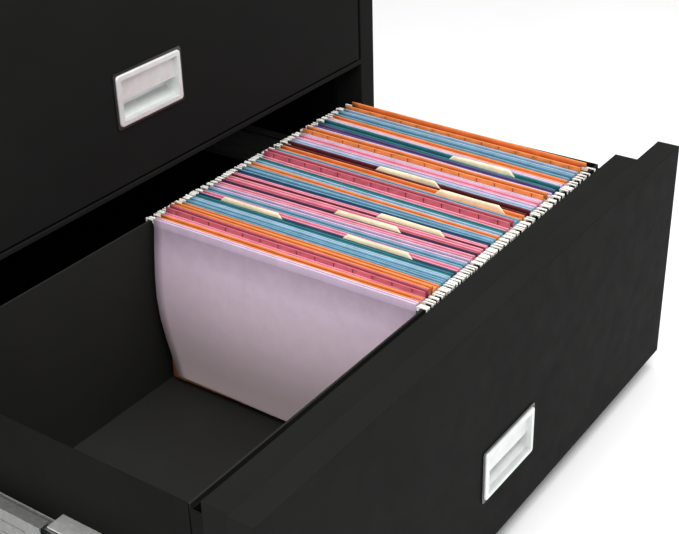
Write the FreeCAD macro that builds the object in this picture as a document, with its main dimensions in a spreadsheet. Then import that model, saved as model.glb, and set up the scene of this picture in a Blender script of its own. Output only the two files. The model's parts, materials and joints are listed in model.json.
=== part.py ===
import FreeCAD, Part
import os
import Sketcher

# Fire-insulated lateral filing cabinet with two drawers, in millimetres.
# The origin is on the floor at the centre of the cabinet's footprint: +X runs to the
# cabinet's right, -Y towards the user, +Z up. The lower drawer stands fully open.
# Each drawer's pieces are drawn in the drawer's own coordinates, with Y = 0 at the
# front face of its head and Z = 0 at the head's lower edge, and then placed.

DIMENSIONS = {
    # cabinet
    "cab_width": 952.5,
    "cab_depth": 562.0,
    "cab_height": 705.0,
    "shell_sheet": 1.5,
    "back_sheet": 1.2,
    "jamb_depth": 45.0,
    "mouth_step": 6.0,
    "fit_gap": 0.1,
    # drawer heads and the openings that they close
    "head_width": 876.0,
    "head_height": 311.0,
    "head_sheet": 1.2,
    "panel_depth": 29.0,
    "plug_depth": 48.0,
    "plug_inset": 21.5,
    "side_gap": 5.5,
    "gap_under_head": 3.0,
    "gap_over_head": 12.0,
    "rail_height": 6.5,
    "base_height": 26.0,
    # inner compartments
    "liner_sheet": 1.2,
    "liner_step": 14.0,
    "liner_length": 480.0,
    # drawer body
    "travel": 496.0,
    "body_width": 821.0,
    "body_sheet": 1.2,
    "body_start": 98.0,
    "body_end": 493.0,
    "floor_height": 33.0,
    "wall_top": 272.0,
    "hem_height": 12.0,
    # telescopic slides
    "slide_sheet": 1.5,
    "slide_height": 149.0,
    "cabinet_member_height": 60.0,
    "middle_member_height": 48.0,
    "drawer_member_height": 36.0,
    "ball_diameter": 3.9,
    # brackets
    "bracket_sheet": 1.8,
    "bracket_flange": 21.4,
    "bracket_flange_length": 184.0,
    "bracket_leg_rise": 19.0,
    "bracket_rise": 33.0,
    # recessed pull
    "pull_width": 110.0,
    "pull_height": 63.0,
    "pull_centre": 105.0,
    "pull_rim": 6.5,
    "pull_depth": 20.0,
    "pull_skin": 1.2,
    "pull_rim_thickness": 2.6,
    "pull_panel_face": 1.8,
    "pull_panel_back": 3.2,
    "pull_lip_drop": 2.5,
    "pull_pocket_rise": 8.0,
    "pull_floor_front": 2.5,
    "pull_floor_drop": 16.5,
    "backplate_width": 117.0,
    "backplate_height": 70.0,
    "backplate_sheet": 1.4,
    # lock
    "lock_offset": 400.0,
    "lock_drop": 11.75,
    "housing_diameter": 16.0,
    "plug_diameter": 11.0,
    "lock_throw": 12.0,
    "lock_slot_start": 17.0,
    "lock_slot_end": 26.4,
    "lock_slot_beyond_bolt": 4.6,
    "lock_slot_beyond_lock": 6.0,
    # hanging folders
    "folder_count": 46.0,
    "folder_pitch": 9.4,
    "folder_thickness": 7.4,
    "folder_width": 380.0,
    "first_folder": -28.0,
    "paper_bottom": 37.0,
    "rod_bottom": 266.0,
    "rod_top": 277.0,
    "rod_sheet": 1.2,
    "tab_length": 98.0,
    "tab_thickness": 1.0,
    "tab_rise": 12.0,
}

# Which folder each index tab stands on, and where the tab starts behind the head's face.
TAB_PLACES = ((7, 355.0), (7, 165.0), (12, 207.0), (14, 161.0), (24, 134.0), (26, 234.0), (34, 170.0))


class Size:
    """A length written as a spreadsheet expression, with its present value."""

    def __init__(self, text, value):
        self.text = text
        self.value = value

    def __add__(self, other):
        return Size("(%s + %s)" % (self.text, words(other)), self.value + number(other))

    def __sub__(self, other):
        return Size("(%s - %s)" % (self.text, words(other)), self.value - number(other))

    def __mul__(self, other):
        return Size("(%s * %s)" % (self.text, words(other)), self.value * number(other))

    def __truediv__(self, other):
        return Size("(%s / %s)" % (self.text, words(other)), self.value / number(other))

    def __neg__(self):
        return Size("(0 - %s)" % self.text, -self.value)

    def __rsub__(self, other):
        return (-self) + other

    __radd__ = __add__
    __rmul__ = __mul__


def words(length):
    return length.text if isinstance(length, Size) else repr(float(length))


def number(length):
    return length.value if isinstance(length, Size) else float(length)


def size_of(alias):
    return Size("Dimensions." + alias, DIMENSIONS[alias])


def fill_sheet(document):
    sheet = document.addObject("Spreadsheet::Sheet", "Dimensions")
    for row, (alias, value) in enumerate(DIMENSIONS.items(), start=1):
        sheet.set("A%d" % row, alias)
        sheet.set("B%d" % row, str(value))
        sheet.setAlias("B%d" % row, alias)
    document.recompute()


doc = FreeCAD.newDocument("FilingCabinet")
fill_sheet(doc)
sub_parts = []

# ---------------------------------------------------------------- shared places

cab_width = size_of("cab_width")
cab_depth = size_of("cab_depth")
cab_height = size_of("cab_height")
shell = size_of("shell_sheet")
fit_gap = size_of("fit_gap")
half_cab = cab_width / 2
front = -(cab_depth / 2)
rear = cab_depth / 2
jamb_end = front + size_of("jamb_depth")
half_head = size_of("head_width") / 2
head_height = size_of("head_height")
half_opening = half_head + size_of("side_gap")
half_mouth = half_opening - size_of("mouth_step")
rail_height = size_of("rail_height")
level_step = head_height + size_of("gap_over_head") + rail_height + size_of("gap_under_head")
lower_level = size_of("base_height")
upper_level = lower_level + level_step
opening_bottom = lower_level - size_of("gap_under_head")
rail_bottom = lower_level + head_height + size_of("gap_over_head")
rail_top = rail_bottom + rail_height
opening_top = rail_bottom + level_step
liner = size_of("liner_sheet")
liner_step = size_of("liner_step")
liner_start = jamb_end + fit_gap
liner_end = liner_start + size_of("liner_length")
half_lining = half_mouth + liner
panel_depth = size_of("panel_depth")
plug_end = panel_depth + size_of("plug_depth")
plug_inset = size_of("plug_inset")
half_plug = half_head - plug_inset
half_body = size_of("body_width") / 2
body_sheet = size_of("body_sheet")
body_start = size_of("body_start")
body_end = size_of("body_end")
wall_top = size_of("wall_top")
slide_height = size_of("slide_height")

# ------------------------------------------------------------------ small tools

rail_bend = 1.4
channel_bend = 1.2
head_bend = 1.1
plate_corner_radius = 4.0
rim_corner_radius = 4.5
rim_edge_radius = 1.6


def bind(feature, path, length):
    feature.setExpression(path, words(length))


def place(feature, x=0.0, y=0.0, z=0.0):
    """Moves a finished sub-part, with its place bound to the sheet."""
    for axis, distance in (("x", x), ("y", y), ("z", z)):
        bind(feature, "Placement.Base." + axis, distance)


def keep(feature, label):
    feature.Label = label
    sub_parts.append(feature)
    return feature


def new_body(label):
    body = doc.addObject("PartDesign::Body", label)
    return keep(body, label)


def origin_plane(body, role):
    return next(plane for plane in body.Origin.OriginFeatures if plane.Role == role)


def new_sketch(body, role, offset):
    sketch = body.newObject("Sketcher::SketchObject", body.Label + "_sketch")
    sketch.AttachmentSupport = [(origin_plane(body, role), "")]
    sketch.MapMode = "FlatFace"
    bind(sketch, "AttachmentOffset.Base.z", offset)
    return sketch


def draw_polygon(sketch, corners):
    """A closed outline whose corners are held by distances from the origin."""
    first = sketch.GeometryCount
    count = len(corners)
    points = [FreeCAD.Vector(number(across), number(up), 0) for across, up in corners]
    for index in range(count):
        following = points[(index + 1) % count]
        sketch.addGeometry(Part.LineSegment(points[index], following), False)
    for index in range(count):
        this_line = first + index
        next_line = first + (index + 1) % count
        sketch.addConstraint(Sketcher.Constraint("Coincident", this_line, 2, next_line, 1))
    for index, (across, up) in enumerate(corners):
        for kind, distance in (("DistanceX", across), ("DistanceY", up)):
            rule = Sketcher.Constraint(kind, -1, 1, first + index, 1, number(distance))
            position = sketch.addConstraint(rule)
            bind(sketch, "Constraints[%d]" % position, distance)


def rectangle(low_across, high_across, low_up, high_up):
    return [(low_across, low_up), (high_across, low_up), (high_across, high_up), (low_across, high_up)]


def pad(body, role, start, length, corners):
    """Adds an outline pushed from `start` along the plane's own normal."""
    sketch = new_sketch(body, role, start)
    draw_polygon(sketch, corners)
    feature = body.newObject("PartDesign::Pad", body.Label + "_pad")
    feature.Profile = sketch
    bind(feature, "Length", length)
    doc.recompute()
    return feature


def pocket(body, role, start, length, corners):
    """Cuts an outline out of the body, against the plane's normal from `start`."""
    before = body.Shape.Volume
    sketch = new_sketch(body, role, start)
    draw_polygon(sketch, corners)
    feature = body.newObject("PartDesign::Pocket", body.Label + "_pocket")
    feature.Profile = sketch
    bind(feature, "Length", length)
    doc.recompute()
    if body.Shape.Volume > before - 1e-3:
        raise RuntimeError("a pocket removed nothing from " + body.Label)
    return feature


def along_x(body, low, high, corners):
    """Outline in Y and Z, from X = low to X = high."""
    return pad(body, "YZ_Plane", low, high - low, corners)


def along_y(body, low, high, corners):
    """Outline in X and Z, from Y = low to Y = high; the plane's normal is -Y."""
    return pad(body, "XZ_Plane", -high, high - low, corners)


def along_z(body, low, high, corners):
    """Outline in X and Y, from Z = low to Z = high."""
    return pad(body, "XY_Plane", low, high - low, corners)


def cut_along_x(body, low, high, corners):
    return pocket(body, "YZ_Plane", high, high - low, corners)


def cut_along_y(body, low, high, corners):
    return pocket(body, "XZ_Plane", -low, high - low, corners)


def cut_along_z(body, low, high, corners):
    return pocket(body, "XY_Plane", high, high - low, corners)


def fillet(body, feature, radius, wanted):
    """Rounds the straight edges of a feature for which wanted(middle, direction) is true."""
    names = []
    for index, edge in enumerate(feature.Shape.Edges, start=1):
        if edge.Curve.TypeId != "Part::GeomLine":
            continue
        middle = edge.valueAt((edge.FirstParameter + edge.LastParameter) / 2)
        if wanted(middle, edge.tangentAt(edge.FirstParameter)):
            names.append("Edge%d" % index)
    rounded = body.newObject("PartDesign::Fillet", body.Label + "_fillet")
    rounded.Base = (feature, names)
    rounded.Radius = radius
    doc.recompute()
    return rounded


def upright(direction):
    return abs(direction.z) > 0.99


def fore_and_aft(direction):
    return abs(direction.y) > 0.99


def along_y_only(middle, direction):
    return fore_and_aft(direction)


def front_fold(middle, direction):
    """True for an edge that runs from side to side in the plane of the cabinet's front."""
    return abs(direction.x) > 0.99 and near(middle.y, front)


def near(value, length):
    return abs(value - number(length)) < 0.05


def mirrored(side, corners):
    """The outline of the left or right piece of a handed pair: side is -1 or 1."""
    return [(across * side, up) for across, up in corners]


def span(side, low, high):
    """The ordered ends of a stretch from X = low to X = high, on one side."""
    return (low, high) if side > 0 else (-high, -low)


# ----------------------------------------------------------------- cabinet case


def make_side_panel(label, side):
    """Outer side, stile face and jamb, bent from one sheet."""
    inner = half_cab - shell
    panel_rear = rear - size_of("back_sheet") - fit_gap
    corners = [
        (half_cab, panel_rear),
        (half_cab, front),
        (half_opening, front),
        (half_opening, jamb_end),
        (half_opening + shell, jamb_end),
        (half_opening + shell, front + shell),
        (inner, front + shell),
        (inner, panel_rear),
    ]
    body = new_body(label)
    profile = along_z(body, 0.0, cab_height, mirrored(side, corners))
    bend = 1.4
    fillet(body, profile, bend, lambda middle, direction: upright(direction) and near(middle.y, front))
    trim = shell + fit_gap
    jamb_return = rectangle(half_opening - fit_gap, half_opening + shell + fit_gap,
                            front + shell, jamb_end + fit_gap)
    cut_along_z(body, 0.0, trim, mirrored(side, jamb_return))
    cut_along_z(body, cab_height - trim, cab_height, mirrored(side, jamb_return))


def make_top_panel():
    """Top sheet with a folded front rail; the rail is notched to fit between the stiles."""
    body = new_body("top_panel")
    panel_rear = rear - size_of("back_sheet") - fit_gap
    corners = [
        (panel_rear, cab_height),
        (front, cab_height),
        (front, opening_top),
        (jamb_end, opening_top),
        (jamb_end, opening_top + shell),
        (front + shell, opening_top + shell),
        (front + shell, cab_height - shell),
        (panel_rear, cab_height - shell),
    ]
    rail_reach = half_opening - fit_gap
    sheet_reach = half_cab - shell - fit_gap
    rail = along_x(body, -rail_reach, rail_reach, corners)
    fillet(body, rail, rail_bend, front_fold)
    sheet_start = front + shell + fit_gap
    along_z(body, cab_height - shell, cab_height,
            rectangle(-sheet_reach, sheet_reach, sheet_start, panel_rear))
    lock_x = size_of("lock_offset")
    lock_z = cab_height - size_of("lock_drop")
    hole = (size_of("housing_diameter") / 2) + 0.2
    cut_along_y(body, front, front + shell,
                rectangle(lock_x - hole, lock_x + hole, lock_z - hole, lock_z + hole))
    bolt_x = lock_x - size_of("lock_throw")
    cut_along_z(body, opening_top, opening_top + shell,
                rectangle(bolt_x - size_of("lock_slot_beyond_bolt"),
                          lock_x + size_of("lock_slot_beyond_lock"),
                          front + size_of("lock_slot_start"), front + size_of("lock_slot_end")))


def make_bottom_pan():
    """Base sheet with a folded front rail under the lower opening."""
    body = new_body("bottom_pan")
    pan_rear = rear - size_of("back_sheet") - fit_gap
    corners = [
        (pan_rear, 0.0),
        (pan_rear, shell),
        (front + shell, shell),
        (front + shell, opening_bottom - shell),
        (jamb_end, opening_bottom - shell),
        (jamb_end, opening_bottom),
        (front, opening_bottom),
        (front, 0.0),
    ]
    rail_reach = half_opening - fit_gap
    sheet_reach = half_cab - shell - fit_gap
    rail = along_x(body, -rail_reach, rail_reach, corners)
    fillet(body, rail, rail_bend, front_fold)
    sheet_start = front + shell + fit_gap
    along_z(body, 0.0, shell, rectangle(-sheet_reach, sheet_reach, sheet_start, pan_rear))


def make_back_panel():
    body = new_body("back_panel")
    along_y(body, rear - size_of("back_sheet"), rear,
            rectangle(-half_cab, half_cab, 0.0, cab_height))


def make_middle_rail():
    """Folded channel between the two openings, open towards the rear."""
    body = new_body("middle_rail")
    corners = [
        (jamb_end, rail_bottom),
        (front, rail_bottom),
        (front, rail_top),
        (jamb_end, rail_top),
        (jamb_end, rail_top - shell),
        (front + shell, rail_top - shell),
        (front + shell, rail_bottom + shell),
        (jamb_end, rail_bottom + shell),
    ]
    reach = half_opening - fit_gap
    rail = along_x(body, -reach, reach, corners)
    fillet(body, rail, channel_bend, front_fold)


def make_liner(label, level):
    """Inner steel compartment of one drawer, with a flange round its mouth."""
    body = new_body(label)
    mouth_bottom = level - size_of("gap_under_head")
    mouth_top = level + head_height + size_of("gap_over_head")
    low = mouth_bottom + liner_step
    high = mouth_top - liner_step
    along_y(body, liner_start, liner_start + liner,
            rectangle(-half_opening + fit_gap, half_opening - fit_gap,
                      mouth_bottom + fit_gap, mouth_top - fit_gap))
    along_y(body, liner_start + liner, liner_end + liner,
            rectangle(-half_lining, half_lining, low - liner, high + liner))
    cut_along_y(body, liner_start, liner_end, rectangle(-half_mouth, half_mouth, low, high))


def make_side_insulation(label, side):
    """Mineral slab between the outer side and the liners, reaching into the hollow stile."""
    body = new_body(label)
    outer = half_cab - shell - fit_gap
    stile = half_opening + shell + fit_gap
    inner = half_lining + fit_gap
    slab_rear = rear - size_of("back_sheet") - fit_gap * 2
    slab_front = liner_start + liner + fit_gap
    corners = [
        (outer, slab_rear),
        (outer, front + shell + fit_gap),
        (stile, front + shell + fit_gap),
        (stile, slab_front),
        (inner, slab_front),
        (inner, slab_rear),
    ]
    along_z(body, shell + fit_gap, cab_height - shell - fit_gap, mirrored(side, corners))


def make_top_insulation():
    """Slab over the upper liner, with a nose that fills the top rail round the lock."""
    body = new_body("top_insulation")
    high = cab_height - shell - fit_gap
    low = opening_top - liner_step + liner + fit_gap
    slab_front = liner_start + liner + fit_gap
    slab_rear = rear - size_of("back_sheet") - fit_gap * 2
    nose_front = front + shell + fit_gap
    nose_low = opening_top + shell + fit_gap
    corners = [
        (slab_rear, high),
        (nose_front, high),
        (nose_front, nose_low),
        (slab_front, nose_low),
        (slab_front, low),
        (slab_rear, low),
    ]
    reach = half_lining
    along_x(body, -reach, reach, corners)
    lock_x = size_of("lock_offset")
    cut_along_z(body, nose_low, high, rectangle(lock_x - 20.0, lock_x + 15.0, nose_front, front + 32.0))


def make_bottom_insulation():
    body = new_body("bottom_insulation")
    low = shell + fit_gap
    high = opening_bottom + liner_step - liner - fit_gap
    slab_front = liner_start + liner + fit_gap
    slab_rear = rear - size_of("back_sheet") - fit_gap * 2
    nose_front = front + shell + fit_gap
    nose_high = opening_bottom - shell - fit_gap
    corners = [
        (slab_rear, low),
        (slab_rear, high),
        (slab_front, high),
        (slab_front, nose_high),
        (nose_front, nose_high),
        (nose_front, low),
    ]
    along_x(body, -half_lining, half_lining, corners)


def make_divider_insulation():
    """Slab between the two liners."""
    body = new_body("divider_insulation")
    low = rail_bottom - liner_step + liner + fit_gap
    high = rail_top + liner_step - liner - fit_gap
    slab_front = liner_start + liner + fit_gap
    along_y(body, slab_front, liner_end, rectangle(-half_lining, half_lining, low, high))


def make_back_insulation():
    body = new_body("back_insulation")
    low = opening_bottom + liner_step - liner
    high = opening_top - liner_step + liner
    slab_rear = rear - size_of("back_sheet") - fit_gap * 2
    along_y(body, liner_end + liner + fit_gap, slab_rear,
            rectangle(-half_lining, half_lining, low, high))


# ------------------------------------------------------------------------- lock


def cylinder_along_y(name, radius, low, high, x, z):
    solid = doc.addObject("Part::Cylinder", name)
    bind(solid, "Radius", radius)
    bind(solid, "Height", high - low)
    solid.Placement.Rotation = FreeCAD.Rotation(FreeCAD.Vector(1, 0, 0), -90)
    place(solid, x, low, z)
    return solid


def block(name, x, y, z):
    """A plain box from its three pairs of ends."""
    solid = doc.addObject("Part::Box", name)
    for extent, (low, high) in (("Length", x), ("Width", y), ("Height", z)):
        bind(solid, extent, high - low)
    place(solid, x[0], y[0], z[0])
    return solid


def fuse(name, pieces):
    union = doc.addObject("Part::MultiFuse", name)
    union.Shapes = pieces
    return union


def cut(name, base, tool):
    difference = doc.addObject("Part::Cut", name)
    difference.Base = base
    difference.Tool = tool
    return difference


def make_lock():
    """Key lock in the top rail. Its cam lowers a bolt into the upper head."""
    x = size_of("lock_offset")
    z = cab_height - size_of("lock_drop")
    throw = size_of("lock_throw")
    housing_radius = size_of("housing_diameter") / 2
    plug_radius = size_of("plug_diameter") / 2
    housing_end = front + 17.0
    barrel = cylinder_along_y("lock_barrel", housing_radius, front - 1.0, housing_end, x, z)
    rim = cylinder_along_y("lock_rim", housing_radius + 2.0, front - 3.0, front - 0.1, x, z)
    bore = cylinder_along_y("lock_bore", plug_radius + 0.1, front - 4.0, housing_end + 1.0, x, z)
    solid = fuse("lock_housing_blank", [barrel, rim])
    keep(cut("lock_housing_solid", solid, bore), "lock_housing")

    plug_front = front - 2.6
    plug_rear = housing_end + 0.5
    core = cylinder_along_y("plug_core", plug_radius, plug_front, plug_rear, x, z)
    keyway = block("keyway", (x - 0.9, x + 0.9), (plug_front - 1.0, plug_front + 9.0), (z - 3.8, z + 3.8))
    keep(cut("lock_plug_solid", core, keyway), "lock_plug")

    cam_front = plug_rear
    cam_rear = cam_front + 2.5
    hub = cylinder_along_y("cam_hub", plug_radius, cam_front, cam_rear, x, z)
    arm = block("cam_arm", (x - throw - 3.0, x + 0.0), (cam_front, cam_rear), (z - 4.0, z + 4.0))
    keep(fuse("lock_cam_solid", [hub, arm]), "lock_cam")

    bolt_front = cam_rear + 0.4
    bolt_x = x - throw
    body = new_body("lock_bolt")
    along_y(body, bolt_front, bolt_front + 5.0,
            rectangle(bolt_x - 4.0, bolt_x + 4.0, opening_top + 1.0, cab_height - shell - 1.5))


# ----------------------------------------------------------------- drawer heads


def make_head_panel(name, has_bolt_slot):
    """Outer steel pan of the head: front face and four returns, open to the rear."""
    sheet = size_of("head_sheet")
    body = new_body(name + "_head_panel")
    outer = along_y(body, 0.0, panel_depth, rectangle(-half_head, half_head, 0.0, head_height))

    def front_or_corner(middle, direction):
        return near(middle.y, 0.0) or fore_and_aft(direction)

    fillet(body, outer, head_bend, front_or_corner)
    cut_along_y(body, sheet, panel_depth,
                rectangle(-half_head + sheet, half_head - sheet, sheet, head_height - sheet))
    hole_x = size_of("pull_width") / 2 - size_of("pull_rim") + 2.6
    hole_z = size_of("pull_height") / 2 - size_of("pull_rim") + 2.6
    centre = size_of("pull_centre")
    cut_along_y(body, 0.0, sheet, rectangle(-hole_x, hole_x, centre - hole_z, centre + hole_z))
    if has_bolt_slot:
        bolt_x = size_of("lock_offset") - size_of("lock_throw")
        cut_along_z(body, head_height - sheet, head_height,
                    rectangle(bolt_x - 4.8, bolt_x + 4.8, 19.6, 26.8))
    return body


def make_plug_pan(name):
    """Inner steel pan of the head: a brim that closes the panel and the raised plug."""
    sheet = size_of("head_sheet")
    body = new_body(name + "_plug_pan")
    reach = half_head - sheet - fit_gap
    inset = sheet + fit_gap
    along_y(body, panel_depth - sheet, panel_depth,
            rectangle(-reach, reach, inset, head_height - inset))
    raised = along_y(body, panel_depth, plug_end,
                     rectangle(-half_plug, half_plug, plug_inset, head_height - plug_inset))

    def rear_or_corner(middle, direction):
        on_plug = middle.y > number(panel_depth) + 0.1
        return on_plug and (near(middle.y, plug_end) or fore_and_aft(direction))

    fillet(body, raised, head_bend, rear_or_corner)
    cut_along_y(body, panel_depth - sheet, plug_end - sheet,
                rectangle(-half_plug + sheet, half_plug - sheet,
                          plug_inset + sheet, head_height - plug_inset - sheet))
    return body


def make_head_core(name, has_bolt_slot):
    """Mineral filling of the head, recessed for the pull and, above, for the lock bolt."""
    sheet = size_of("head_sheet")
    body = new_body(name + "_head_core")
    inset = sheet + fit_gap
    seam = panel_depth - inset
    along_y(body, inset, seam,
            rectangle(-half_head + inset, half_head - inset, inset, head_height - inset))
    along_y(body, seam, plug_end - inset,
            rectangle(-half_plug + inset, half_plug - inset,
                      plug_inset + inset, head_height - plug_inset - inset))
    recess_x = size_of("pull_width") / 2
    recess_z = size_of("pull_height") / 2
    centre = size_of("pull_centre")
    cut_along_y(body, inset, size_of("pull_depth") + 5.0,
                rectangle(-recess_x, recess_x, centre - recess_z, centre + recess_z))
    if has_bolt_slot:
        bolt_x = size_of("lock_offset") - size_of("lock_throw")
        cut_along_z(body, head_height - 16.0, head_height - inset,
                    rectangle(bolt_x - 6.0, bolt_x + 6.0, 18.0, seam))
    return body


def make_pull_backplate(name):
    """Black plate between the head and the rim of the pull."""
    body = new_body(name + "_pull_backplate")
    half_x = size_of("backplate_width") / 2
    half_z = size_of("backplate_height") / 2
    hole_x = size_of("pull_width") / 2 - size_of("pull_rim") + 2.6
    hole_z = size_of("pull_height") / 2 - size_of("pull_rim") + 2.6
    centre = size_of("pull_centre")
    plate = along_y(body, -size_of("backplate_sheet"), -0.01,
                    rectangle(-half_x, half_x, centre - half_z, centre + half_z))
    fillet(body, plate, plate_corner_radius, along_y_only)
    cut_along_y(body, -size_of("backplate_sheet"), -0.01,
                rectangle(-hole_x, hole_x, centre - hole_z, centre + hole_z))
    return body


def make_pull_cup(name):
    """Recessed pull: a rounded rim, a shallow plate in its upper half, and below the plate
    a finger pocket with a sloping floor, which reaches up a little way behind the plate."""
    body = new_body(name + "_pull_cup")
    half_x = size_of("pull_width") / 2
    half_z = size_of("pull_height") / 2
    rim = size_of("pull_rim")
    centre = size_of("pull_centre")
    depth = size_of("pull_depth")
    skin = size_of("pull_skin")
    rim_rear = -size_of("backplate_sheet") - 0.02
    rim_front = rim_rear - size_of("pull_rim_thickness")
    frame = along_y(body, rim_front, rim_rear,
                    rectangle(-half_x, half_x, centre - half_z, centre + half_z))
    corners = fillet(body, frame, rim_corner_radius, along_y_only)
    fillet(body, corners, rim_edge_radius,
           lambda middle, direction: near(middle.y, rim_front) and not fore_and_aft(direction))
    inner_x = half_x - rim
    low = centre - half_z + rim
    high = centre + half_z - rim
    lip = centre - size_of("pull_lip_drop")
    panel_face = size_of("pull_panel_face")
    panel_back = size_of("pull_panel_back")
    pocket_top = centre + size_of("pull_pocket_rise")
    floor_front = size_of("pull_floor_front")
    floor_rear = centre - size_of("pull_floor_drop")
    shell_outline = [
        (rim_rear, low - skin),
        (rim_rear, high + skin),
        (panel_back, high + skin),
        (panel_back, pocket_top + skin),
        (depth + skin, pocket_top + skin),
        (depth + skin, floor_rear - skin),
        (floor_front + 1.0, low - skin),
    ]
    hollow = [
        (rim_front, low),
        (rim_front, high),
        (panel_face, high),
        (panel_face, lip),
        (panel_back, lip),
        (panel_back, pocket_top),
        (depth, pocket_top),
        (depth, floor_rear),
        (floor_front, low),
    ]
    along_x(body, -inner_x - skin, inner_x + skin, shell_outline)
    cut_along_x(body, -inner_x, inner_x, hollow)
    return body


# ---------------------------------------------------------------- drawer bodies


def make_tray(name):
    """Floor, front wall and back wall, bent from one sheet, with hemmed upper edges."""
    body = new_body(name + "_tray")
    floor = size_of("floor_height")
    hem_low = wall_top - size_of("hem_height")
    corners = [
        (body_start, floor),
        (body_start, hem_low),
        (body_start - body_sheet, hem_low),
        (body_start - body_sheet, wall_top),
        (body_start + body_sheet, wall_top),
        (body_start + body_sheet, floor + body_sheet),
        (body_end - body_sheet, floor + body_sheet),
        (body_end - body_sheet, wall_top),
        (body_end + body_sheet, wall_top),
        (body_end + body_sheet, hem_low),
        (body_end, hem_low),
        (body_end, floor),
    ]
    reach = half_body - body_sheet - fit_gap
    along_x(body, -reach, reach, corners)
    return body


def make_drawer_side(name, hand, side):
    """Side wall of the drawer, with a hem along its upper edge, folded inwards."""
    body = new_body("%s_%s_drawer_side" % (name, hand))
    floor = size_of("floor_height")
    hem_low = wall_top - size_of("hem_height")
    inner = half_body - body_sheet
    flat = rectangle(inner, half_body, floor, wall_top)
    along_y(body, body_start, body_end, mirrored(side, flat))
    hem = rectangle(inner - body_sheet, inner, hem_low, wall_top)
    clear = body_sheet + fit_gap
    along_y(body, body_start + clear, body_end - clear, mirrored(side, hem))
    return body


def make_head_brackets(name):
    """Channels that join the drawer body to its head, one at each end."""
    sheet = size_of("bracket_sheet")
    low = size_of("floor_height") + 27.0
    high = wall_top - 5.0
    bracket_front = plug_end + fit_gap
    bracket_rear = body_start - body_sheet - fit_gap
    pair = []
    for side, hand in ((-1, "left"), (1, "right")):
        outer = half_body - 0.4
        web = block(name + hand + "_web", span(side, outer - sheet, outer),
                    (bracket_front, bracket_rear), (low, high))
        front_leg = block(name + hand + "_front_leg", span(side, outer - 24.0, outer),
                          (bracket_front, bracket_front + sheet), (low, high))
        rear_leg = block(name + hand + "_rear_leg", span(side, outer - 24.0, outer),
                         (bracket_rear - sheet, bracket_rear), (low, high))
        pair.append(fuse(name + hand + "_channel", [web, front_leg, rear_leg]))
    group = doc.addObject("Part::Compound", name + "_bracket_pair")
    group.Links = pair
    return keep(group, name + "_head_brackets")


def make_slide_bracket(name, hand, side):
    """Angle on the drawer's side: a long leg, and a flange over the slide in front."""
    body = new_body("%s_%s_slide_bracket" % (name, hand))
    sheet = size_of("bracket_sheet")
    inner = half_body + 0.02
    high = slide_height + size_of("bracket_rise")
    low = slide_height - size_of("drawer_member_height") / 2
    leg_start = plug_end + 7.0
    flange_end = leg_start + size_of("bracket_flange_length")
    leg_high = slide_height + size_of("bracket_leg_rise")
    leg = rectangle(inner, inner + sheet, low, leg_high)
    along_y(body, leg_start, body_end - 3.0, mirrored(side, leg))
    riser = rectangle(inner, inner + sheet, leg_high, high)
    along_y(body, leg_start, flange_end, mirrored(side, riser))
    flange = rectangle(inner + sheet, inner + size_of("bracket_flange"), high - sheet, high)
    along_y(body, leg_start, flange_end, mirrored(side, flange))
    return body


# ---------------------------------------------------------------------- slides


def channel(opening_side, web_x, reach_x, height):
    """Outline of a C-channel: web at web_x, flanges out to reach_x, in X and Z."""
    sheet = size_of("slide_sheet")
    low = slide_height - height / 2
    high = slide_height + height / 2
    web_inner = web_x + sheet * opening_side
    return [
        (web_x, low),
        (reach_x, low),
        (reach_x, low + sheet),
        (web_inner, low + sheet),
        (web_inner, high - sheet),
        (reach_x, high - sheet),
        (reach_x, high),
        (web_x, high),
    ]


def make_cabinet_member(name, hand, side):
    """Outer channel of a slide, screwed to the liner."""
    body = new_body("%s_%s_cabinet_member" % (name, hand))
    section = channel(-1, half_mouth - 0.05, half_mouth - 14.0, size_of("cabinet_member_height"))
    along_y(body, size_of("jamb_depth") + 3.0, size_of("jamb_depth") + 473.0, mirrored(side, section))
    return body


def make_middle_member(name, hand, side):
    """Middle channel of a slide, with a slanted front end."""
    body = new_body("%s_%s_middle_member" % (name, hand))
    height = size_of("middle_member_height")
    section = channel(-1, half_mouth - 5.5, half_mouth - 18.4, height)
    start = panel_depth + 4.0
    along_y(body, start, start + 470.0, mirrored(side, section))
    low = slide_height - height / 2
    slant = [(start - 1.0, low - 1.0), (start + 16.0, low - 1.0), (start - 1.0, low + 16.0)]
    low_x, high_x = span(side, half_mouth - 19.0, half_mouth - 5.0)
    cut_along_x(body, low_x, high_x, slant)
    return body


def make_drawer_member(name, hand, side):
    """Inner channel of a slide, riveted to the drawer's bracket."""
    body = new_body("%s_%s_drawer_member" % (name, hand))
    inner = half_body + size_of("bracket_sheet") + 0.05
    section = channel(1, inner, half_mouth - 13.0, size_of("drawer_member_height"))
    along_y(body, plug_end + 8.0, body_end - 4.0, mirrored(side, section))
    return body


def make_ball_retainers(label, x_low, x_high, z_offset, start, length, balls):
    """Four retainer strips with steel balls, over and under the two slides' channels."""
    radius = size_of("ball_diameter") / 2
    rows = []
    for side, hand in ((-1, "left"), (1, "right")):
        for level, where in ((1, "upper"), (-1, "lower")):
            stem = "%s_%s_%s" % (label, hand, where)
            height = slide_height + z_offset * level
            low_x, high_x = span(side, x_low, x_high)
            strip = block(stem + "_strip", (low_x, high_x), (start, start + length),
                          (height - 0.6, height + 0.6))
            spheres = []
            pitch = length / balls
            for index in range(balls):
                ball = doc.addObject("Part::Sphere", "%s_ball_%d" % (stem, index))
                bind(ball, "Radius", radius)
                place(ball, (low_x + high_x) / 2, start + pitch * (index + 0.5), height)
                spheres.append(ball)
            rows.append(fuse(stem + "_row", [strip] + spheres))
    group = doc.addObject("Part::Compound", label + "_rows")
    group.Links = rows
    return keep(group, label)


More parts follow.
